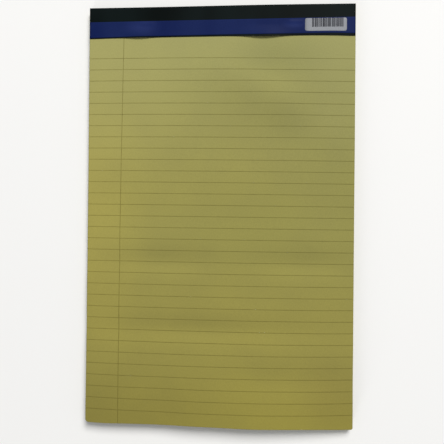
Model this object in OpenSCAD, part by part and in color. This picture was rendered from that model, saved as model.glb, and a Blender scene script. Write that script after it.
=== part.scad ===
// Head-bound legal pad in the folio format, lying on its backing board, with sheets that swell at the foot.
// X runs across the sheet, +Y points to the bound head, +Z rises from the board to the top sheet.
// The origin is the middle of the back face. All sizes are in millimetres.

/* [Pad] */
// Width of the trimmed pad
pad_w = 210; // [120:1:300]
// Length of the pad from the foot to the outside of the head fold
pad_l = 330; // [200:1:420]

/* [Sheets] */
// Number of sheets in the block
sheet_count = 50; // [20:5:100]
// Thickness of one sheet
sheet_t = 0.1; // [0.06:0.01:0.15]

/* [Swell of the sheets] */
// Height of the swell at its crest, over a flat block
crest_h = 5.9; // [3:0.1:8]
// Distance of the crest from the middle of the foot, to the right
crest_x = 28; // [-30:1:30]
// Height of the swell at the left corner of the foot
left_lift = 2.4; // [0:0.1:3]
// Height of the swell at the right corner of the foot
right_lift = 0.5; // [0:0.1:3]
// How late the swell rises on the way from the strip to the foot: 1 is a straight rise
swell_power = 2.4; // [1:0.1:4]

/* [Backing board] */
// Thickness of the grey backing board
board_t = 0.9; // [0.8:0.1:2]

/* [Header strip] */
// Thickness of the paper strip that is folded round the head
strip_t = 0.2; // [0.1:0.05:0.25]
// How far the strip reaches down the front, from the head
front_flap = 24.3; // [20:0.1:36]
// How far the strip reaches down the back, from the head
back_flap = 20; // [18:0.5:40]
// Inside radius of the two folds along the head
fold_r = 0.4; // [0.2:0.05:0.5]
// Height of the blue field on the front flap
blue_band = 12.2; // [11:0.1:15]
// Black left between the blue field and the lower edge of the front flap
blue_clear = 1.4; // [0.2:0.1:2]

/* [Staples] */
// Distance from each side of the pad to the middle of a staple
staple_side = 46.5; // [20:0.5:50]
// Distance from the head to the staples
staple_inset = 13; // [8:0.5:15]
// Outside width of a staple's crown
crown_w = 12; // [8:0.5:14]
// Width of the flattened wire
wire_w = 0.7; // [0.4:0.05:1]
// Thickness of the flattened wire
wire_t = 0.5; // [0.3:0.05:0.55]
// Outside radius of the staple's bends
bend_r = 0.8; // [0.6:0.05:1]
// Space left between the two clinched leg ends
clinch_gap = 3; // [1:0.5:4]

/* [Ruling] */
// Distance from the head to the first rule
first_rule = 40.5; // [40:0.5:60]
// Distance between rules
rule_pitch = 9; // [6:0.5:12]
// Least clear space between the last rule and the foot
foot_clear = 8; // [4:0.5:20]
// Distance from the left edge to the margin line
margin_x = 27; // [15:0.5:40]
// Width of a printed line
line_w = 0.4; // [0.15:0.05:0.5]
// Thickness of a printed layer
ink_t = 0.05; // [0.02:0.01:0.08]

/* [Barcode] */
// Width of the white panel
panel_w = 32.2; // [28:0.1:40]
// Height of the white panel
panel_h = 10; // [8:0.5:10.5]
// Distance from the right edge of the pad to the panel
panel_inset = 6.7; // [3:0.1:20]
// Corner radius of the panel
panel_r = 1.4; // [0.4:0.1:1.5]
// White space at the left of the bars
quiet_left = 5.5; // [3:0.1:8]
// White space at the right of the bars
quiet_right = 2.5; // [2:0.1:5]
// Height of the bars, from the top of the panel
bar_h = 6.9; // [4:0.1:7.5]
// Number of bars
bar_count = 30; // [16:1:40]

/* [Hidden] */

// Overshoot of a cutting solid past the face that it opens
cut = 1;
$fn = 48;

// Facets of the swell, across the pad and from the strip to the foot
swell_facets = 8;
swell_steps = 7;
// Thickness of a slice that the swell is lofted through
slice_t = 0.05;

// Levels along Z, from the face that the pad rests on
sheets_t = sheet_count * sheet_t;
sheets_top = board_t + sheets_t;
strip_top = sheets_top + strip_t;
print_top = strip_top + ink_t;

// Places along Y
head = pad_l / 2;
foot = -pad_l / 2;
core_head = head - strip_t;
front_edge = head - front_flap;
back_edge = head - back_flap;
blue_foot = front_edge + blue_clear;
blue_top = blue_foot + blue_band;
rule_count = floor((pad_l - first_rule - foot_clear) / rule_pitch) + 1;

// Places along X
left = -pad_w / 2;
right = pad_w / 2;
panel_left = right - panel_inset - panel_w;

// Bars and spaces are one to three modules wide, in a made-up order that carries no number
bar_modules = [for (i = [0 : bar_count - 1]) 1 + (2 * i % 5 < 3 ? 1 : 0) + (i % 7 == 3 ? 1 : 0)];
space_modules = [for (i = [0 : bar_count - 2]) 1 + (i % 4 == 1 ? 1 : 0) + (i % 11 == 6 ? 1 : 0)];
function total(list, n) = n <= 0 ? 0 : list[n - 1] + total(list, n - 1);
module_w = (panel_w - quiet_left - quiet_right)
    / (total(bar_modules, bar_count) + total(space_modules, bar_count - 1));
function bar_left(i) = panel_left + quiet_left
    + module_w * (total(bar_modules, i) + total(space_modules, i));

// Height of the swell along the foot: a parabola that falls from the crest to each corner
function foot_lift(x) = x < crest_x
    ? crest_h - (crest_h - left_lift) * pow((crest_x - x) / (crest_x - left), 2)
    : crest_h - (crest_h - right_lift) * pow((x - crest_x) / (right - crest_x), 2);

// Shares of the way from the strip to the foot at which the swell is drawn, closer together towards the foot
swell_shares = [for (j = [0 : swell_steps]) pow(j / swell_steps, 0.7)];

// Rectangle from (x0, y0) to (x1, y1)
module box2(x0, y0, x1, y1) {
    translate([x0, y0]) square([x1 - x0, y1 - y0]);
}

// Rectangle whose two right-hand corners are rounded
module rounded_end(x0, y0, x1, y1, r) {
    box2(x0, y0, x1 - r, y1);
    box2(x1 - r, y0 + r, x1, y1 - r);
    for (y = [y0 + r, y1 - r])
        translate([x1 - r, y]) circle(r);
}

// Rectangle with four rounded corners
module rounded_box(x0, y0, x1, y1, r) {
    box2(x0 + r, y0, x1 - r, y1);
    box2(x0, y0 + r, x1, y1 - r);
    for (x = [x0 + r, x1 - r], y = [y0 + r, y1 - r])
        translate([x, y]) circle(r);
}

// Side section, drawn as (Y, Z), carried across the full width of the pad
module across() {
    rotate([90, 0, 90]) linear_extrude(pad_w, center = true) children();
}

// Flat shape, drawn as (X, Y), raised as a printed layer from level z
module printed(z) {
    translate([0, 0, z]) linear_extrude(ink_t) children();
}

// Section of sheets and board together: the strip's back flap is let into the board, so the back is flat
module core_section() {
    box2(foot, 0, back_edge, strip_t + fold_r);
    rounded_end(foot, strip_t, core_head, sheets_top, fold_r);
}

module strip_section() {
    difference() {
        rounded_end(foot, 0, head, strip_top, fold_r + strip_t);
        rounded_end(foot - cut, strip_t, core_head, sheets_top, fold_r);
        box2(foot - cut, board_t, front_edge, strip_top + cut);
        box2(foot - cut, -cut, back_edge, board_t);
    }
}

// Thin slice of the sheets at a share of the way from the strip to the foot, with its top raised
module sheets_slice(share, raise) {
    y = foot + (1 - share) * (front_edge - slice_t - foot);
    xs = [for (i = [0 : swell_facets]) left + pad_w * i / swell_facets];
    top = [for (x = xs) [x, sheets_top + raise + foot_lift(x) * pow(share, swell_power)]];
    translate([0, y + slice_t, 0])
        rotate([90, 0, 0])
            linear_extrude(slice_t) polygon(concat([[right, board_t], [left, board_t]], top));
}

// Sheets from the strip's edge to the foot, lofted through their slices
module swelled_sheets(raise = 0) {
    for (j = [1 : swell_steps])
        hull() {
            sheets_slice(swell_shares[j - 1], raise);
            sheets_slice(swell_shares[j], raise);
        }
}

// Crown on the top sheet, legs through the block, ends clinched into the back of the board
module staple_section() {
    difference() {
        rounded_box(-crown_w / 2, strip_t, crown_w / 2, sheets_top, bend_r);
        rounded_box(
            -crown_w / 2 + wire_t, strip_t + wire_t,
            crown_w / 2 - wire_t, sheets_top - wire_t, bend_r - wire_t
        );
        box2(-clinch_gap / 2, strip_t - cut, clinch_gap / 2, strip_t + wire_t + cut);
    }
}

module staple_pair() {
    for (x = [left + staple_side, right - staple_side])
        translate([x, head - staple_inset, 0])
            rotate([90, 0, 0])
                linear_extrude(wire_w, center = true) staple_section();
}

module panel_shape() {
    rounded_box(panel_left, blue_top - panel_h, panel_left + panel_w, blue_top, panel_r);
}

module backing_board() {
    color("#8d8577")
        difference() {
            across() intersection() {
                core_section();
                box2(foot, 0, head, board_t);
            }
            staple_pair();
        }
}

module page_block() {
    color("#d8cf7c")
        difference() {
            union() {
                across() intersection() {
                    core_section();
                    box2(front_edge - cut, board_t, head, sheets_top);
                }
                swelled_sheets();
            }
            staple_pair();
        }
}

module staples() {
    color("#b8babd") staple_pair();
}

module header_strip() {
    color("#1b1f1f") across() strip_section();
}

module ruling_lines() {
    for (k = [0 : rule_count - 1])
        translate([left - cut, head - first_rule - k * rule_pitch - line_w / 2])
            square([pad_w + 2 * cut, line_w]);
    box2(left + margin_x - line_w / 2, foot - cut, left + margin_x + line_w / 2, front_edge);
}

// Ink that follows the swell of the top sheet
module ruling() {
    color("#7d7846")
        difference() {
            intersection() {
                translate([0, 0, board_t])
                    linear_extrude(sheets_t + max(crest_h, left_lift, right_lift) + cut) ruling_lines();
                swelled_sheets(ink_t);
            }
            swelled_sheets();
        }
}

module blue_field() {
    color("#232d63")
        printed(strip_top) difference() {
            box2(left, blue_foot, right, blue_top);
            panel_shape();
        }
}

module barcode_panel() {
    color("#d9d9dd") printed(strip_top) panel_shape();
}

module barcode_bars() {
    color("#3a3840")
        printed(print_top)
            for (i = [0 : bar_count - 1])
                translate([bar_left(i), blue_top - bar_h])
                    square([bar_modules[i] * module_w, bar_h]);
}

backing_board();
page_block();
staples();
header_strip();
ruling();
blue_field();
barcode_panel();
barcode_bars();
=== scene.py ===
"""Legal pad, dressed for rendering: a bowed block of yellow sheets under a folded, printed strip."""
import math
import random
from itertools import accumulate

import bpy
from mathutils import Euler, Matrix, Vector


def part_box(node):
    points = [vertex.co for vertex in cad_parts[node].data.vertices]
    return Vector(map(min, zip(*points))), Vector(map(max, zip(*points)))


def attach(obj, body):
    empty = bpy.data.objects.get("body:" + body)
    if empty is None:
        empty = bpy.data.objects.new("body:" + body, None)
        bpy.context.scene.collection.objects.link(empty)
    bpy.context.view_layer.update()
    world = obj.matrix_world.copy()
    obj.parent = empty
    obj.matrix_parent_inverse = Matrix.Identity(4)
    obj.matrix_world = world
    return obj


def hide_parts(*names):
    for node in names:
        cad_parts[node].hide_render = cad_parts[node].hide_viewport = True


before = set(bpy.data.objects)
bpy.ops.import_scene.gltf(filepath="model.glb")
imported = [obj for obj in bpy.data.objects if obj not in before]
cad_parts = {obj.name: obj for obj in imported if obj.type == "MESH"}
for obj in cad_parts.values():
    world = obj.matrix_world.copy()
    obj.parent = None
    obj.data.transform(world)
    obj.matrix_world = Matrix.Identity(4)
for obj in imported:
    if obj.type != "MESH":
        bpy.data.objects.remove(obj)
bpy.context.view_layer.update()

# Metres in a millimetre: shapes below are worked out in millimetres
MM = 0.001

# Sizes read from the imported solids
pages_lo, pages_hi = (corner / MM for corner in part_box("page_block"))
strip_lo, strip_hi = (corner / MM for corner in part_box("header_strip"))
panel_lo, panel_hi = (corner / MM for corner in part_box("barcode_panel"))
bars_lo, bars_hi = (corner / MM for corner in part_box("barcode_bars"))
LEFT, RIGHT = pages_lo.x, pages_hi.x
FOOT, CORE_HEAD = pages_lo.y, pages_hi.y
FRONT_EDGE, HEAD = strip_lo.y, strip_hi.y
BOARD_TOP, STRIP_TOP = pages_lo.z, strip_hi.z
STRIP_T = HEAD - CORE_HEAD
SHEETS_TOP = STRIP_TOP - STRIP_T

# Sizes repeated from the part's source, or worked out as there
SHEET_COUNT = 50
SHEET_T = 0.1
CREST_H, CREST_X = 5.9, 28.0
LEFT_LIFT, RIGHT_LIFT = 2.4, 0.5
SWELL_POWER = 2.4
BACK_FLAP = 20.0
FOLD_R = 0.4
BLUE_CLEAR, BLUE_BAND = 1.4, 12.2
FIRST_RULE = 40.5
RULE_PITCH = 9.0
RULE_COUNT = 32
MARGIN_X = 27.0
LINE_W = 0.4
STAPLE_X = 58.5
STAPLE_INSET = 13.0
CROWN_W = 12.0
PANEL_R = 1.4
BAR_COUNT = 30

# Soft buckles of the top sheets: middle, turn in degrees, half width, half length, height
BUCKLES = [
    ((-45.0, -37.0), 0.0, 8.5, 42.0, -1.5),
    ((-45.0, -17.0), 0.0, 12.0, 45.0, 0.5),
    ((66.0, -38.0), 0.0, 8.5, 42.0, -1.3),
    ((66.0, -17.0), 0.0, 12.0, 42.0, 0.4),
    ((-15.0, -90.0), 0.0, 9.0, 80.0, -1.7),
    ((55.0, -128.0), 0.0, 12.0, 60.0, -1.2),
    ((46.0, 87.0), -34.0, 15.0, 60.0, 1.45),
    ((52.0, 112.0), -33.0, 12.0, 32.0, -0.4),
    ((-45.0, -160.0), 90.0, 22.0, 45.0, -1.1),
]
# Share of the way to the foot over which the sheets come free of the strip
FREE_SHARE = 0.1
# How softly the sheets settle on the block where they would sink into it
LEAST_LIFT = 0.1

# Faint waves in the paper: how many, and the ranges of their lengths and heights
WAVE_COUNT = 7
WAVE_LENGTHS = (40.0, 90.0)
WAVE_HEIGHTS = (0.03, 0.07)

# Places where the sheets stand out at the foot: middle, half width, reach of the top sheet
FOOT_REACHES = [(24.0, 26.0, 0.55), (-90.0, 13.0, 0.45)]
# How far up from the foot that begins
FOOT_REACH_DEPTH = 12.0
# Radii of the worn corners at the left and right of the foot
CORNER_LEFT, CORNER_RIGHT = 2.7, 1.2

# Print that runs slightly askew to the pad, as a slope
RULE_SKEW = -0.0054
MARGIN_SKEW = 0.0058
BLUE_SKEW = 0.0056
# How the rules fan open to one side and close up towards both, in millimetres at a corner of the sheet
RULE_FAN, RULE_PINCH = -0.8, -1.2
# How far rules halfway along the sheet sit too high; those at its ends sit twice as far too low
RULE_BOW = 0.3
# How far the margin line bows to the left, and at which share of the half length it is back in place
MARGIN_BOW, MARGIN_BOW_END = 0.68, 0.8

# Places where the strip's front edge stands off the sheet: middle, half width, height
EDGE_LIFTS = [(-65.0, 10.0, 1.0), (34.5, 14.0, 1.6), (90.0, 10.0, 0.25)]
# Places where the strip's front edge hangs lower or is drawn up: middle, half width, drop
EDGE_DROPS = [
    (-105.0, 18.0, 0.45),
    (-65.0, 10.0, 0.15),
    (5.0, 65.0, -0.42),
    (34.5, 14.0, 0.6),
    (105.0, 12.0, 0.7),
]
# How far up the front flap these reach
EDGE_DEPTH = 10.0

# Bumps of the strip over the staples: height, half width, reach past the crown, and ease at the ends
BUMP_H, BUMP_HALF_WIDTH = 0.3, 1.5
BUMP_REACH, BUMP_EASE = 0.8, 2.5

# Loose fold along the head: how far it stands out all along, and how far from the head it is loose
FOLD_REACH = 0.25
FOLD_DEPTH = 5.0
# Where the loose fold bulges further: middle, half width, reach
FOLD_BULGES = [(35.0, 60.0, 0.4)]

random.seed(7)
WAVES = [
    (
        random.uniform(0, math.tau),
        random.uniform(*WAVE_LENGTHS),
        random.uniform(0, math.tau),
        random.uniform(*WAVE_HEIGHTS),
    )
    for _ in range(WAVE_COUNT)
]


# Forms of the sheets and the strip

def smooth(t):
    """Smooth step from 0 at t = 0 to 1 at t = 1."""
    t = min(1.0, max(0.0, t))
    return t * t * (3 - 2 * t)


def hump(t):
    """Bell curve that is 1 at t = 0."""
    return math.exp(-t * t)


def humps(x, places):
    """Sum of bell curves across the pad, each given by its middle, half width and height."""
    return sum(height * hump((x - middle) / half_width) for middle, half_width, height in places)


def heading(turn):
    """Cosine and sine of a turn in degrees."""
    return math.cos(math.radians(turn)), math.sin(math.radians(turn))


def waves(x, y):
    """Faint waves in the paper."""
    total = 0.0
    for turn, length, phase, height in WAVES:
        along = x * math.cos(turn) + y * math.sin(turn)
        total += height * math.cos(math.tau * along / length + phase)
    return total


def buckles(x, y):
    """Soft folds in the top sheets."""
    total = 0.0
    for (mid_x, mid_y), turn, half_width, half_length, height in BUCKLES:
        c, s = heading(turn)
        along, across = c * (x - mid_x) + s * (y - mid_y), c * (y - mid_y) - s * (x - mid_x)
        total += height * hump(across / half_width) * hump(along / half_length)
    return total


def way_down(y):
    """Share of the way from the strip's edge to the foot."""
    return max(0.0, (FRONT_EDGE - y) / (FRONT_EDGE - FOOT))


def swell(x, y):
    """Swell of the sheets over a flat block, as in the part's source."""
    corner, lift = (LEFT, LEFT_LIFT) if x < CREST_X else (RIGHT, RIGHT_LIFT)
    fall = ((x - CREST_X) / (corner - CREST_X)) ** 2
    return (CREST_H - (CREST_H - lift) * fall) * way_down(y) ** SWELL_POWER


def sheet_lift(x, y):
    """Height of the top sheet over a flat block, never below it."""
    free = smooth(way_down(y) / FREE_SHARE)
    lift = swell(x, y) + free * (buckles(x, y) + waves(x, y))
    return (lift + math.hypot(lift, free * LEAST_LIFT)) / 2


def foot_reach(x):
    """How far the top sheet stands out past the trimmed foot."""
    return humps(x, FOOT_REACHES)


def on_sheet(x, y):
    """Point of the top sheet's face over a place on the flat pad."""
    reach = foot_reach(x) * smooth(1 - (y - FOOT) / FOOT_REACH_DEPTH)
    return x, y - reach, SHEETS_TOP + sheet_lift(x, y)


def rule_place(x, y):
    """Place along the sheet of a rule that is meant for y."""
    u, v = x / RIGHT, y / HEAD
    return y + RULE_SKEW * x + (RULE_FAN * u + RULE_PINCH * u * u) * v + RULE_BOW * (1 - 3 * v * v)


def margin_place(y):
    """Place across the sheet of the margin line at y."""
    v = y / HEAD
    return LEFT + MARGIN_X + MARGIN_SKEW * y - MARGIN_BOW * (1 - (v / MARGIN_BOW_END) ** 2)


def near_edge(y):
    """How close a place is to the strip's front edge: 1 at the edge, 0 further up the flap."""
    return smooth(1 - (y - FRONT_EDGE) / EDGE_DEPTH)


def strip_lift(x, y):
    """Height of the strip's front flap over its flat place."""
    lift = humps(x, EDGE_LIFTS) * near_edge(y)
    for side in (-STAPLE_X, STAPLE_X):
        across = smooth((CROWN_W / 2 + BUMP_REACH - abs(x - side)) / BUMP_EASE)
        lift += BUMP_H * across * hump((y - HEAD + STAPLE_INSET) / BUMP_HALF_WIDTH)
    return lift


def edge_drop(x, y):
    """How far the strip's front flap reaches lower than its straight edge."""
    return near_edge(y) * humps(x, EDGE_DROPS)


def fold_reach(x, y, z):
    """How far the strip stands out past its tight place round the head, fading on its way to the back."""
    at_head = smooth(1 - (HEAD - y) / FOLD_DEPTH) * smooth(2 * z / STRIP_TOP)
    return at_head * (FOLD_REACH + humps(x, FOLD_BULGES))


def on_fold(x, y, z):
    """Point of the loose strip for a point of its tight section."""
    on_front = z > SHEETS_TOP - FOLD_R and y < HEAD - FOLD_R - STRIP_T
    lift, drop = (strip_lift(x, y), edge_drop(x, y)) if on_front else (0.0, 0.0)
    return x, y - drop + fold_reach(x, y, z), z + lift


def on_strip(x, y):
    """Point of the strip's front face over a place on the flat pad."""
    return on_fold(x, y, STRIP_TOP)


# Mesh helpers

def spread(lo, hi, step):
    """Evenly spaced values from lo to hi, about step apart."""
    n = max(1, round((hi - lo) / step))
    return [lo + (hi - lo) * i / n for i in range(n + 1)]


def add_mesh(name, verts, faces, materials, smooth_faces=None, face_materials=None):
    """New object from vertices in millimetres."""
    mesh = bpy.data.meshes.new(name)
    mesh.from_pydata([(x * MM, y * MM, z * MM) for x, y, z in verts], [], faces)
    for material in materials:
        mesh.materials.append(material)
    if smooth_faces is not None:
        mesh.polygons.foreach_set("use_smooth", smooth_faces)
    if face_materials is not None:
        mesh.polygons.foreach_set("material_index", face_materials)
    mesh.update()
    piece = bpy.data.objects.new(name, mesh)
    bpy.context.scene.collection.objects.link(piece)
    return piece


def dress(piece, node):
    """Fix a piece to the pad, in place of a CAD node, which is hidden."""
    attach(piece, "root")
    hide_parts(node)


class Skin:
    """Thin closed layers that follow a face of the pad, gathered into one mesh."""

    def __init__(self, on_face, gap, thick):
        self.on_face, self.gap, self.thick = on_face, gap, thick
        self.verts, self.faces, self.soft = [], [], []

    def add(self, rows):
        """Layer over a grid of (x, y) points: rows of equal length, from low to high y."""
        n, m = len(rows), len(rows[0])
        start = len(self.verts)
        for level in (self.gap, self.gap + self.thick):
            for x, y, z in (self.on_face(*place) for row in rows for place in row):
                self.verts.append((x, y, z + level))

        def low(i, j):
            return start + i * m + j

        def top(i, j):
            return low(i, j) + n * m

        for i in range(n - 1):
            for j in range(m - 1):
                self.faces.append((top(i, j), top(i, j + 1), top(i + 1, j + 1), top(i + 1, j)))
                self.faces.append((low(i, j), low(i + 1, j), low(i + 1, j + 1), low(i, j + 1)))
        for j in range(m - 1):
            self.faces.append((low(0, j), low(0, j + 1), top(0, j + 1), top(0, j)))
            self.faces.append((low(n - 1, j + 1), low(n - 1, j), top(n - 1, j), top(n - 1, j + 1)))
        for i in range(n - 1):
            self.faces.append((low(i + 1, 0), low(i, 0), top(i, 0), top(i + 1, 0)))
            self.faces.append((low(i, m - 1), low(i + 1, m - 1), top(i + 1, m - 1), top(i, m - 1)))
        broad = 2 * (n - 1) * (m - 1)
        self.soft += [True] * broad + [False] * (len(self.faces) - len(self.soft) - broad)

    def make(self, name, material):
        """Object of all the layers."""
        return add_mesh(name, self.verts, self.faces, [material], self.soft)


# Shader helpers

# Sockets of a Mix node that are in use when it mixes colours
MIX_FACTOR, MIX_A, MIX_B, MIX_RESULT = 0, 6, 7, 2
# Values that most of a noise lies between
NOISE_LO, NOISE_HI = 0.3, 0.7


def new_material(name):
    """Material with its node tree, its shader and a socket of the object's coordinates."""
    material = bpy.data.materials.new(name)
    material.use_nodes = True
    tree = material.node_tree
    shader = tree.nodes["Principled BSDF"]
    place = tree.nodes.new("ShaderNodeTexCoord").outputs["Object"]
    return material, tree, shader, place


def noise(tree, place, scale, detail, rough, stretch=None):
    """Noise value from 0 to 1 at a scale in cells per metre."""
    if stretch is not None:
        mapping = tree.nodes.new("ShaderNodeMapping")
        mapping.inputs["Scale"].default_value = stretch
        tree.links.new(place, mapping.inputs["Vector"])
        place = mapping.outputs["Vector"]
    node = tree.nodes.new("ShaderNodeTexNoise")
    node.inputs["Scale"].default_value = scale
    node.inputs["Detail"].default_value = detail
    node.inputs["Roughness"].default_value = rough
    tree.links.new(place, node.inputs["Vector"])
    return node.outputs["Fac"]


def remap(tree, value, from_lo, from_hi, to_lo, to_hi, kind="SMOOTHSTEP"):
    """Value carried over from one range to another."""
    node = tree.nodes.new("ShaderNodeMapRange")
    node.interpolation_type = kind
    ends = {"From Min": from_lo, "From Max": from_hi, "To Min": to_lo, "To Max": to_hi}
    for name, number in ends.items():
        node.inputs[name].default_value = number
    tree.links.new(value, node.inputs["Value"])
    return node.outputs["Result"]


def ranged(tree, value, lo, hi):
    """Noise value stretched to run from lo to hi."""
    return remap(tree, value, NOISE_LO, NOISE_HI, lo, hi)


def mix(tree, factor, a, b, blend="MIX"):
    """Colour mix; factor, a and b are sockets or values."""
    node = tree.nodes.new("ShaderNodeMix")
    node.data_type = "RGBA"
    node.blend_type = blend
    for index, value in ((MIX_FACTOR, factor), (MIX_A, a), (MIX_B, b)):
        if hasattr(value, "links"):
            tree.links.new(value, node.inputs[index])
        else:
            node.inputs[index].default_value = value
    return node.outputs[MIX_RESULT]


def times(tree, a, b):
    """Product of two colours."""
    return mix(tree, 1.0, a, b, "MULTIPLY")


def two_tones(tree, value, a, b):
    """Colour that a noise value takes from a to b."""
    return mix(tree, ranged(tree, value, 0, 1), a, b)


def bump(tree, shader, height, distance, strength):
    """Relief of a shader from a height value; the distance is in metres."""
    node = tree.nodes.new("ShaderNodeBump")
    node.inputs["Distance"].default_value = distance
    node.inputs["Strength"].default_value = strength
    tree.links.new(height, node.inputs["Height"])
    tree.links.new(node.outputs["Normal"], shader.inputs["Normal"])


def srgb(r, g, b):
    """Linear colour from 8-bit screen values."""
    def linear(c):
        c /= 255
        return c / 12.92 if c <= 0.04045 else ((c + 0.055) / 1.055) ** 2.4
    return linear(r), linear(g), linear(b), 1.0


def grey(level):
    """Colour with the same level in all channels."""
    return level, level, level, 1.0


def along_pad(tree, place):
    """Share of the way from the foot to the head."""
    node = tree.nodes.new("ShaderNodeSeparateXYZ")
    tree.links.new(place, node.inputs["Vector"])
    return remap(tree, node.outputs["Y"], FOOT * MM, HEAD * MM, 0, 1, "LINEAR")


def spot(tree, place, middle, radii, turn=0.0):
    """Soft oval spot, 1 in its middle and 0 outside; sizes in millimetres, turn in degrees."""
    mapping = tree.nodes.new("ShaderNodeMapping")
    mapping.vector_type = "TEXTURE"
    mapping.inputs["Location"].default_value = (middle[0] * MM, middle[1] * MM, 0.0)
    mapping.inputs["Rotation"].default_value = (0.0, 0.0, math.radians(turn))
    mapping.inputs["Scale"].default_value = (radii[0] * MM, radii[1] * MM, 1.0)
    tree.links.new(place, mapping.inputs["Vector"])
    ball = tree.nodes.new("ShaderNodeTexGradient")
    ball.gradient_type = "SPHERICAL"
    tree.links.new(mapping.outputs["Vector"], ball.inputs["Vector"])
    return remap(tree, ball.outputs["Fac"], 0, 1, 0, 1)


def ramp(tree, value, stops):
    """Colour that runs through (place, colour) stops, places from 0 to 1."""
    node = tree.nodes.new("ShaderNodeValToRGB")
    node.color_ramp.interpolation = "EASE"
    while len(node.color_ramp.elements) < len(stops):
        node.color_ramp.elements.new(0.5)
    for element, (at, colour) in zip(node.color_ramp.elements, stops):
        element.position, element.color = at, colour
    tree.links.new(value, node.inputs["Fac"])
    return node.outputs["Color"]


# Materials

# Yellow of the paper from the foot to the head, as shares of the pad's length, with painted light: paler
# at the head as a painted sheen, darker at the foot as painted shade
PAPER_TONES_WITH_PAINTED_LIGHT = [
    (0.0, srgb(138, 129, 59)),
    (0.2, srgb(144, 136, 68)),
    (0.5, srgb(145, 139, 74)),
    (0.95, srgb(153, 150, 93)),
]
# Patches of painted light and shade, where the paper is painted paler or darker: middle, radii and tint
PAINTED_LIGHT_PATCHES = [
    ((-105.0, 70.0), (110.0, 150.0), (1.10, 1.08, 1.05, 1)),
    ((-105.0, -20.0), (60.0, 130.0), (1.13, 1.10, 1.02, 1)),
    ((-105.0, -170.0), (125.0, 85.0), (0.90, 0.90, 0.93, 1)),
    ((50.0, -160.0), (80.0, 60.0), (1.09, 1.09, 1.05, 1)),
    ((20.0, 90.0), (85.0, 55.0), (0.94, 0.94, 0.90, 1)),
    ((110.0, 30.0), (115.0, 190.0), (0.92, 0.94, 0.99, 1)),
    ((48.0, 128.0), (50.0, 24.0), (0.89, 0.90, 0.90, 1)),
    ((20.0, -20.0), (75.0, 60.0), (0.96, 0.97, 0.97, 1)),
    ((88.0, -135.0), (38.0, 38.0), (0.91, 0.90, 0.95, 1)),
    ((45.0, 95.0), (85.0, 60.0), (0.96, 0.96, 0.96, 1)),
    ((58.0, 82.0), (34.0, 26.0), (0.92, 0.92, 0.92, 1)),
]

# How much painted shade and painted light make the two slopes of a buckle differ from flat paper, for a
# slope of 1
SLOPE_TINT = 0.25
# Middle and radii of the tint on a slope, in half widths and half lengths of its buckle
SLOPE_MIDDLE = 0.8
SLOPE_WIDE, SLOPE_LONG = 1.5, 1.6
# Place of the key light in metres
KEY_PLACE = (1.2, 2.8, 3.2)


def slope_tints():
    """Spot and tint for each slope of a buckle, darker where the slope faces away from the key light."""
    key_x, key_y, _ = KEY_PLACE
    for (mid_x, mid_y), turn, half_width, half_length, height in BUCKLES:
        c, s = heading(turn)
        facing = (c * key_y - s * key_x) / math.hypot(key_x, key_y)
        radii = (SLOPE_LONG * half_length, SLOPE_WIDE * half_width)
        for side in (-SLOPE_MIDDLE * half_width, SLOPE_MIDDLE * half_width):
            tint = 1 + SLOPE_TINT * facing * math.copysign(height / half_width, side * height)
            yield (mid_x - s * side, mid_y + c * side), radii, turn, grey(tint)


def paper_tone_and_painted_light(tree, place):
    """Colour of the paper at a place on the sheet, without its fibres, with its painted light and shade:
    the painted sheen and shade along the pad, the painted patches and the painted shade on the buckles'
    slopes.
    """
    tone = ramp(tree, along_pad(tree, place), PAPER_TONES_WITH_PAINTED_LIGHT)
    patches = [(middle, radii, 0.0, tint) for middle, radii, tint in PAINTED_LIGHT_PATCHES]
    for middle, radii, turn, tint in patches + list(slope_tints()):
        patch = mix(tree, spot(tree, place, middle, radii, turn), grey(1), tint)
        tone = times(tree, tone, patch)
    return tone


def yellow_paper():
    """Uncoated paper with painted light and shade: a painted sheen makes it paler at the head, painted
    shade makes it deeper at the foot, and patches of painted light and shade lie on it; with mottling and
    fibres.
    """
    material, tree, shader, place = new_material("yellow_paper")
    cloud = noise(tree, place, 30, detail=3, rough=0.5)
    cloudy = two_tones(tree, cloud, grey(0.975), grey(1.025))
    fibre = noise(tree, place, 1500, detail=4, rough=0.65, stretch=(1.0, 0.55, 1.0))
    fibres = two_tones(tree, fibre, grey(0.95), grey(1.05))
    tinted = times(tree, times(tree, paper_tone_and_painted_light(tree, place), cloudy), fibres)
    tree.links.new(tinted, shader.inputs["Base Color"])
    tree.links.new(ranged(tree, cloud, 0.78, 0.9), shader.inputs["Roughness"])
    shader.inputs["Specular IOR Level"].default_value = 0.25
    bump(tree, shader, fibre, distance=0.00004, strength=0.35)
    return material


# How much of the paper's colour shows through the ink of the rules
INK_DARK = (0.70, 0.68, 0.58, 1)
INK_LIGHT = (0.80, 0.79, 0.69, 1)


def rule_ink():
    """Thin ink that lets the paper show through, in uneven strength along the lines."""
    material, tree, shader, place = new_material("rule_ink")
    ink = two_tones(tree, noise(tree, place, 220, detail=3, rough=0.6), INK_DARK, INK_LIGHT)
    # The paper's tone under the ink carries the paper's painted light and shade.
    tree.links.new(times(tree, paper_tone_and_painted_light(tree, place), ink), shader.inputs["Base Color"])
    shader.inputs["Roughness"].default_value = 0.8
    shader.inputs["Specular IOR Level"].default_value = 0.2
    return material


# Places of painted sheen on the strip over its staple bumps: middle and radii
PAINTED_SHEEN_SPOTS = [((-63.0, 150.0), (19.0, 9.0)), ((58.0, 150.0), (12.0, 5.0))]
# Noise values between which the two tones of a print mix, and how far its roughness drifts
DRIFT_LO, DRIFT_HI = 0.32, 0.68
ROUGH_DRIFT = 0.06


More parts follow.
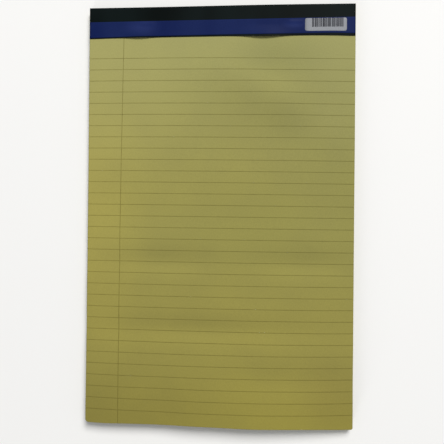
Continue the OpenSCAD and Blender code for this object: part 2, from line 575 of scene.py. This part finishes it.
def printed(name, dark, light, rough, cells=24, painted_sheen=None):
    """Satin printed paper: two tones that drift along the strip, fine grain, and a painted sheen over the
    staple bumps.
    """
    material, tree, shader, place = new_material(name)
    drift = noise(tree, place, cells, detail=2, rough=0.5, stretch=(1.0, 0.35, 1.0))
    tone = mix(tree, remap(tree, drift, DRIFT_LO, DRIFT_HI, 0, 1), dark, light)
    if painted_sheen is not None:
        for middle, radii in PAINTED_SHEEN_SPOTS:
            tone = mix(tree, spot(tree, place, middle, radii), tone, painted_sheen)
    grain = noise(tree, place, 2200, detail=3, rough=0.6)
    speck = two_tones(tree, grain, grey(0.9), grey(1.1))
    tree.links.new(times(tree, tone, speck), shader.inputs["Base Color"])
    satin = ranged(tree, drift, rough - ROUGH_DRIFT, rough + ROUGH_DRIFT)
    tree.links.new(satin, shader.inputs["Roughness"])
    shader.inputs["Specular IOR Level"].default_value = 0.04
    bump(tree, shader, grain, distance=0.00003, strength=0.25)
    return material


# Largest share of a fleck's colour in the board
FLECK_SHARE = 0.7


def flecks(tree, place, scale, stretch, from_lo, from_hi):
    """Share of a fleck's colour, from the peaks of a noise between two of its values."""
    peaks = noise(tree, place, scale, detail=2, rough=0.4, stretch=stretch)
    return remap(tree, peaks, from_lo, from_hi, 0, FLECK_SHARE)


def grey_board():
    """Recycled grey board: cloudy brown-grey with pale and dark flecks."""
    material, tree, shader, place = new_material("grey_board")
    cloud = noise(tree, place, 40, detail=4, rough=0.6)
    base = two_tones(tree, cloud, srgb(126, 118, 105), srgb(150, 141, 126))
    fibre = noise(tree, place, 700, detail=5, rough=0.7, stretch=(1.0, 0.4, 1.0))
    body = times(tree, base, two_tones(tree, fibre, grey(0.88), grey(1.1)))
    pale = flecks(tree, place, 420, (1.0, 0.5, 1.0), 0.68, 0.74)
    dark = flecks(tree, place, 310, (0.5, 1.0, 1.0), 0.7, 0.76)
    flecked = mix(tree, dark, mix(tree, pale, body, srgb(190, 182, 168)), srgb(72, 66, 60))
    tree.links.new(flecked, shader.inputs["Base Color"])
    tree.links.new(ranged(tree, cloud, 0.82, 0.95), shader.inputs["Roughness"])
    shader.inputs["Specular IOR Level"].default_value = 0.2
    bump(tree, shader, fibre, distance=0.00008, strength=0.5)
    return material


def staple_wire():
    """Galvanised wire with fine drawing lines."""
    material, tree, shader, place = new_material("staple_wire")
    lines = noise(tree, place, 900, detail=3, rough=0.6, stretch=(0.1, 1.0, 1.0))
    tone = two_tones(tree, lines, srgb(160, 162, 165), srgb(198, 200, 203))
    tree.links.new(tone, shader.inputs["Base Color"])
    tree.links.new(ranged(tree, lines, 0.25, 0.42), shader.inputs["Roughness"])
    shader.inputs["Metallic"].default_value = 1.0
    return material


# Sheets

# Mesh cells of the block and of its top sheet, across and along, and along both under the strip
BLOCK_CELL = (5.0, 4.5)
TOP_CELL = (2.5, 1.5)
STUB_CELL = 6.0
# Grid lines at the worn corners, as shares of the corners' radii
LEFT_STEPS = (0.0, 0.2, 0.42, 0.68, 1.0)
RIGHT_STEPS = (1.0, 0.6, 0.3, 0.0)
# Depth and least height of the grooves between sheets at the edges of the block
GROOVE, GROOVE_H = 0.4, 0.02
# How far sheets slip past each other
LEAF_SLIP = 0.07
# Gaps between fanned sheets: range of chance, and size at the board, which grows by 1 up the block
GAP_CHANCE = (0.3, 1.0)
GAP_AT_BOARD = 0.4


def page_grid(cell_x, cell_y):
    """Grid lines of a sheet with cells of about a given size, closer together at the worn corners."""
    close_left = [CORNER_LEFT * share for share in LEFT_STEPS]
    close_right = [CORNER_RIGHT * share for share in RIGHT_STEPS]
    xs = [LEFT + c for c in close_left]
    xs += spread(LEFT + CORNER_LEFT, RIGHT - CORNER_RIGHT, cell_x)[1:-1]
    xs += [RIGHT - c for c in close_right]
    ys = sorted({FOOT + c for c in close_left + close_right})
    ys += spread(FOOT + CORNER_LEFT, FRONT_EDGE, cell_y)[1:]
    ys += spread(FRONT_EDGE, CORE_HEAD, STUB_CELL)[1:]
    return xs, ys


def round_corner(x, y):
    """Draw a point near a lower corner of a sheet in to the corner's arc."""
    edge, inward, radius = (LEFT, 1, CORNER_LEFT) if x < 0 else (RIGHT, -1, CORNER_RIGHT)
    a = 1 - (x - edge) * inward / radius
    b = 1 - (y - FOOT) / radius
    if a <= 0 or b <= 0:
        return x, y
    return (edge + inward * radius * (1 - a * math.sqrt(1 - b * b / 2)),
            FOOT + radius * (1 - b * math.sqrt(1 - a * a / 2)))


def draw_in(x, y, inset):
    """Point on a sheet's outline, drawn in square to the outline."""
    radius = CORNER_LEFT if x < 0 else CORNER_RIGHT
    core_x = min(max(x, LEFT + radius), RIGHT - radius)
    core_y = min(max(y, FOOT + radius), CORE_HEAD - radius)
    share = inset / math.hypot(core_x - x, core_y - y)
    return x + share * (core_x - x), y + share * (core_y - y)


def leaf_shares():
    """Share of the top sheet's lift that each sheet takes, with uneven gaps between sheets."""
    gaps = []
    for i in range(SHEET_COUNT - 1):
        gaps.append(random.uniform(*GAP_CHANCE) * (GAP_AT_BOARD + i / SHEET_COUNT))
    lifts = list(accumulate(gaps, initial=0.0))
    return [lift / lifts[-1] for lift in lifts]


class Leaves:
    """Block of sheets on a grid: rows of points round its outline, and a broad face at each end."""

    def __init__(self, xs, ys):
        self.xs, self.ys = xs, ys
        self.verts, self.faces, self.soft = [], [], []
        self.rows = 0
        right, head = len(xs) - 1, len(ys) - 1
        self.ring = [(i, 0) for i in range(right)] + [(right, j) for j in range(head)]
        self.ring += [(i, head) for i in range(right, 0, -1)] + [(0, j) for j in range(head, 0, -1)]

    def add_row(self, level, share, inset=0.0, slip=(0.0, 0.0)):
        """Points round a sheet, at its level in a flat block plus its share of the top sheet's lift."""
        for i, j in self.ring:
            x, y = round_corner(self.xs[i], self.ys[j])
            z = level + share * sheet_lift(x, y)
            x, y = draw_in(x, y, inset)
            if j == 0:
                y += slip[1] - share * foot_reach(x)
            self.verts.append((x + slip[0], y, z))
        self.rows += 1

    def add_walls(self):
        """Faces between neighbouring rows."""
        count = len(self.ring)
        for r in range(self.rows - 1):
            low, top = r * count, (r + 1) * count
            for k in range(count):
                n = (k + 1) % count
                self.faces.append((low + k, low + n, top + n, top + k))
                self.soft.append(False)

    def add_face(self, row, level, share, upward):
        """Broad face inside a row, with the level and the share that the row has."""
        at = {place: row * len(self.ring) + k for k, place in enumerate(self.ring)}
        for j in range(1, len(self.ys) - 1):
            for i in range(1, len(self.xs) - 1):
                x, y = round_corner(self.xs[i], self.ys[j])
                at[i, j] = len(self.verts)
                self.verts.append((x, y, level + share * sheet_lift(x, y)))
        for j in range(len(self.ys) - 1):
            for i in range(len(self.xs) - 1):
                quad = (at[i, j], at[i + 1, j], at[i + 1, j + 1], at[i, j + 1])
                self.faces.append(quad if upward else quad[::-1])
                self.soft.append(True)


def make_pages(material):
    """Block of sheets under the top one, each with its own edge, that fans open under the swell."""
    leaves = Leaves(*page_grid(*BLOCK_CELL))
    shares = leaf_shares()
    slips = [(random.gauss(0, LEAF_SLIP), abs(random.gauss(0, LEAF_SLIP))) for _ in range(SHEET_COUNT)]
    last = SHEET_COUNT - 2
    for leaf in range(last + 1):
        low, top = BOARD_TOP + leaf * SHEET_T, BOARD_TOP + (leaf + 1) * SHEET_T
        if leaf > 0:
            low += GROOVE_H / 2
            leaves.add_row(low, shares[leaf], inset=GROOVE)
        if leaf < last:
            top -= GROOVE_H / 2
        leaves.add_row(low, shares[leaf], slip=slips[leaf])
        leaves.add_row(top, shares[leaf], slip=slips[leaf])
        if leaf < last:
            leaves.add_row(top, shares[leaf], inset=GROOVE)
    leaves.add_walls()
    leaves.add_face(leaves.rows - 1, SHEETS_TOP - SHEET_T, shares[last], upward=True)
    leaves.add_face(0, BOARD_TOP, shares[0], upward=False)
    piece = add_mesh("page_sheets", leaves.verts, leaves.faces, [material], leaves.soft)
    dress(piece, "page_block")


def make_top_sheet(material):
    """Top sheet of the block, on a fine grid that carries its folds."""
    xs, ys = page_grid(*TOP_CELL)
    sheet = Skin(on_sheet, -SHEET_T, SHEET_T)
    sheet.add([[round_corner(x, y) for x in xs] for y in ys])
    dress(sheet.make("top_sheet", material), "page_block")


# Gap under the ink of the rules, and thickness of the ink
INK_GAP, INK_T = 0.008, 0.014
# How far the ink of a rule spreads into the paper on each side
INK_SPREAD = 0.08
# How far the lines stop short of the sheet's edges and of the strip
INK_TRIM = 0.03


def make_ruling(material):
    """Rules and margin line as fine ribbons on the top sheet."""
    xs, ys = page_grid(*TOP_CELL)
    xs = [LEFT + INK_TRIM] + xs[1:-1] + [RIGHT - INK_TRIM]
    ys = [FOOT + INK_TRIM] + [y for y in ys if FOOT < y < FRONT_EDGE] + [FRONT_EDGE - INK_TRIM]
    half = LINE_W / 2 + INK_SPREAD
    skin = Skin(on_sheet, INK_GAP, INK_T)
    for k in range(RULE_COUNT):
        y = HEAD - FIRST_RULE - k * RULE_PITCH
        skin.add([[(x, rule_place(x, y) + side) for x in xs] for side in (-half, half)])
    skin.add([[(margin_place(y) + side, y) for side in (-half, half)] for y in ys])
    dress(skin.make("ruled_lines", material), "ruling")


# Strip and its print

# Mesh cells of the strip: across the pad, along its front, spine and back, and round each fold
STRIP_CELL = 1.5
FRONT_CELL, SPINE_CELL, BACK_CELL = 0.6, 0.8, 2.0
FOLD_CELLS = 5
# Places of the printed paper and of its raw edges among the strip's materials
PRINTED, RAW = 0, 1


def fold_arc(y, z, r, start):
    """Points (y, z) along a quarter turn round a middle, clockwise from an angle in degrees."""
    turns = [math.radians(start - 90 * i / FOLD_CELLS) for i in range(FOLD_CELLS + 1)]
    return [(y + r * math.cos(t), z + r * math.sin(t)) for t in turns]


def strip_side(outer):
    """Outer or inner line of the strip's section, from the front edge round the head to the back edge."""
    r = FOLD_R + STRIP_T if outer else FOLD_R
    head, top, low = (HEAD, STRIP_TOP, 0.0) if outer else (CORE_HEAD, SHEETS_TOP, STRIP_T)
    front = [(y, top) for y in spread(FRONT_EDGE, head - r, FRONT_CELL)[:-1]]
    spine = [(head, z) for z in spread(low + r, top - r, SPINE_CELL)[::-1]][1:-1]
    back = [(y, low) for y in spread(HEAD - BACK_FLAP, head - r, BACK_CELL)[::-1]][1:]
    upper, lower = fold_arc(head - r, top - r, r, 90), fold_arc(head - r, low + r, r, 0)
    return front + upper + spine + lower + back


def make_strip(material, core):
    """Folded strip, with its raw paper showing at the cut edges."""
    section = strip_side(True) + strip_side(False)
    n = len(section) // 2
    xs = spread(LEFT, RIGHT, STRIP_CELL)
    verts = [on_fold(x, y, z) for x in xs for y, z in section]
    faces, soft, looks = [], [], []

    def put(face, look):
        faces.append(face)
        soft.append(look == PRINTED)
        looks.append(look)

    for c in range(len(xs) - 1):
        a, b = c * 2 * n, (c + 1) * 2 * n
        for k in range(n - 1):
            put((a + k, b + k, b + k + 1, a + k + 1), PRINTED)
            put((a + n + k, a + n + k + 1, b + n + k + 1, b + n + k), PRINTED)
        put((a, a + n, b + n, b), RAW)
        put((a + n - 1, b + n - 1, b + 2 * n - 1, a + 2 * n - 1), RAW)
    last = (len(xs) - 1) * 2 * n
    for k in range(n - 1):
        put((k, k + 1, n + k + 1, n + k), RAW)
        put((last + k, last + n + k, last + n + k + 1, last + k + 1), RAW)
    piece = add_mesh("head_strip", verts, faces, [material, core], soft, looks)
    dress(piece, "header_strip")


# Gap under the print on the strip, and thickness of each layer of print
PRINT_GAP, PRINT_T = 0.005, 0.02
# Mesh steps up the blue field, as a share of its height
BLUE_STEP = 0.05
# Mesh cells across the panel and round each of its corners
PANEL_CELLS = 13
PANEL_CORNER_CELLS = 4
# How far the bars stop short of the panel's upper edge
BAR_TRIM = 0.02


def blue_place(x, share):
    """Place along the pad of a share of the way up the blue field."""
    return FRONT_EDGE + BLUE_CLEAR + BLUE_BAND * share + BLUE_SKEW * x


def make_blue(material):
    """Blue field on the lower part of the strip's front."""
    skin = Skin(on_strip, PRINT_GAP, PRINT_T)
    xs = spread(LEFT, RIGHT, STRIP_CELL)
    skin.add([[(x, blue_place(x, share)) for x in xs] for share in spread(0.0, 1.0, BLUE_STEP)])
    dress(skin.make("blue_print", material), "blue_field")


def make_panel(material):
    """White panel with rounded corners."""
    lo, hi = panel_lo, panel_hi
    turns = [math.radians(90 * i / PANEL_CORNER_CELLS) for i in range(PANEL_CORNER_CELLS + 1)]
    bends = [PANEL_R * (1 - math.cos(t)) for t in turns]
    ys = [lo.y + b for b in bends]
    ys += spread(lo.y + PANEL_R, hi.y - PANEL_R, STRIP_CELL)[1:-1]
    ys += [hi.y - b for b in bends[::-1]]
    rows = []
    for y in ys:
        depth = PANEL_R - min(y - lo.y, hi.y - y, PANEL_R)
        inset = PANEL_R - math.sqrt(max(0.0, PANEL_R ** 2 - depth ** 2))
        from_x, to_x = lo.x + inset, hi.x - inset
        rows.append([(from_x + (to_x - from_x) * i / PANEL_CELLS, y) for i in range(PANEL_CELLS + 1)])
    skin = Skin(on_strip, PRINT_GAP + PRINT_T, PRINT_T)
    skin.add(rows)
    dress(skin.make("barcode_label", material), "barcode_panel")


def bar_widths():
    """Bars and spaces in modules, in the part source's made-up order."""
    bars = [1 + (2 * i % 5 < 3) + (i % 7 == 3) for i in range(BAR_COUNT)]
    spaces = [1 + (i % 4 == 1) + (i % 11 == 6) for i in range(BAR_COUNT - 1)]
    return bars, spaces


def make_bars(material):
    """Dark bars on the panel."""
    bars, spaces = bar_widths()
    module = (bars_hi.x - bars_lo.x) / (sum(bars) + sum(spaces))
    skin = Skin(on_strip, PRINT_GAP + 2 * PRINT_T, PRINT_T)
    x = bars_lo.x
    for bar, space in zip(bars, spaces + [0]):
        skin.add([[(x, y), (x + bar * module, y)] for y in (bars_lo.y, bars_hi.y - BAR_TRIM)])
        x += (bar + space) * module
    dress(skin.make("barcode_marks", material), "barcode_bars")


def dress_node(node, material):
    """Procedural material for a CAD node that stays."""
    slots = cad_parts[node].data.materials
    slots.clear()
    slots.append(material)


# Stage

# Camera: turn about the sheet's long side, its short side and the view in degrees, distance and aim
CAMERA_YAW, CAMERA_PITCH, CAMERA_ROLL = 3.669, 0.123, 0.506
CAMERA_DISTANCE = 409.4
CAMERA_AIM = (2.52, -5.25, 6.1)
# Focal length and side of the frame in pixels, and the sensor's width in millimetres
FOCAL_PIXELS = 520.0
FRAME_PIXELS = 444.0
SENSOR = 36.0

# Floor: half its side, its level and its colour
FLOOR_HALF, FLOOR_LEVEL = 8000.0, -0.05
FLOOR_COLOUR = (0.86, 0.86, 0.855, 1)

# Area lights that face the pad: name, place and size in metres, power in watts, colour
LIGHTS = [
    ("key", KEY_PLACE, 2.0, 210.0, (1.0, 0.985, 0.96)),
    ("fill", (-0.8, -2.6, 0.4), 0.7, 30.0, (0.98, 0.99, 1.0)),
]
# Even light from all round
SKY_COLOUR, SKY_STRENGTH = (0.97, 0.985, 1.0, 1), 0.3


def make_camera():
    """Camera nearly square over the pad, as in the photo."""
    data = bpy.data.cameras.new("camera")
    data.sensor_width = SENSOR
    data.lens = SENSOR * FOCAL_PIXELS / FRAME_PIXELS
    data.clip_start = 0.01
    camera = bpy.data.objects.new("camera", data)
    camera.rotation_mode = "ZXY"
    turn = Euler([math.radians(a) for a in (CAMERA_PITCH, CAMERA_YAW, CAMERA_ROLL)], "ZXY")
    camera.rotation_euler = turn
    back = turn.to_matrix() @ Vector((0, 0, CAMERA_DISTANCE))
    camera.location = (Vector(CAMERA_AIM) + back) * MM
    bpy.context.scene.collection.objects.link(camera)
    bpy.context.scene.camera = camera


def make_floor():
    """Plain pale floor just under the pad."""
    material, _, shader, _ = new_material("floor")
    shader.inputs["Base Color"].default_value = FLOOR_COLOUR
    shader.inputs["Roughness"].default_value = 0.9
    shader.inputs["Specular IOR Level"].default_value = 0.1
    sides = ((-1, -1), (1, -1), (1, 1), (-1, 1))
    corners = [(x * FLOOR_HALF, y * FLOOR_HALF, FLOOR_LEVEL) for x, y in sides]
    add_mesh("floor", corners, [(0, 1, 2, 3)], [material])


def make_light(name, place, size, power, colour):
    """Square area light that faces the middle of the pad."""
    data = bpy.data.lights.new(name, "AREA")
    data.size = size
    data.energy = power
    data.color = colour
    light = bpy.data.objects.new(name, data)
    light.location = place
    light.rotation_euler = (-Vector(place)).to_track_quat("-Z", "Y").to_euler()
    bpy.context.scene.collection.objects.link(light)


def make_sky():
    """Even light all round, and plain colours in the picture."""
    world = bpy.data.worlds.new("studio")
    world.use_nodes = True
    background = world.node_tree.nodes["Background"]
    background.inputs["Color"].default_value = SKY_COLOUR
    background.inputs["Strength"].default_value = SKY_STRENGTH
    bpy.context.scene.world = world
    bpy.context.scene.view_settings.view_transform = "Standard"


def build():
    """Make every piece in its material, then the camera and the stage."""
    paper = yellow_paper()
    make_pages(paper)
    make_top_sheet(paper)
    make_ruling(rule_ink())
    core = printed("strip_core", srgb(96, 92, 84), srgb(120, 115, 104), rough=0.8, cells=90)
    make_strip(printed("black_strip", srgb(4, 10, 9), srgb(12, 21, 21), rough=0.5), core)
    # The blue print gets a painted sheen over the staple bumps.
    blue = printed("blue_print", srgb(15, 28, 74), srgb(22, 35, 80), rough=0.5, painted_sheen=srgb(31, 43, 91))
    make_blue(blue)
    make_panel(printed("white_print", srgb(139, 142, 148), srgb(146, 148, 153), rough=0.6, cells=60))
    make_bars(printed("bar_ink", srgb(26, 26, 34), srgb(34, 34, 42), rough=0.6, cells=200))
    dress_node("backing_board", grey_board())
    dress_node("staples", staple_wire())
    make_camera()
    make_floor()
    for light in LIGHTS:
        make_light(*light)
    make_sky()


build()
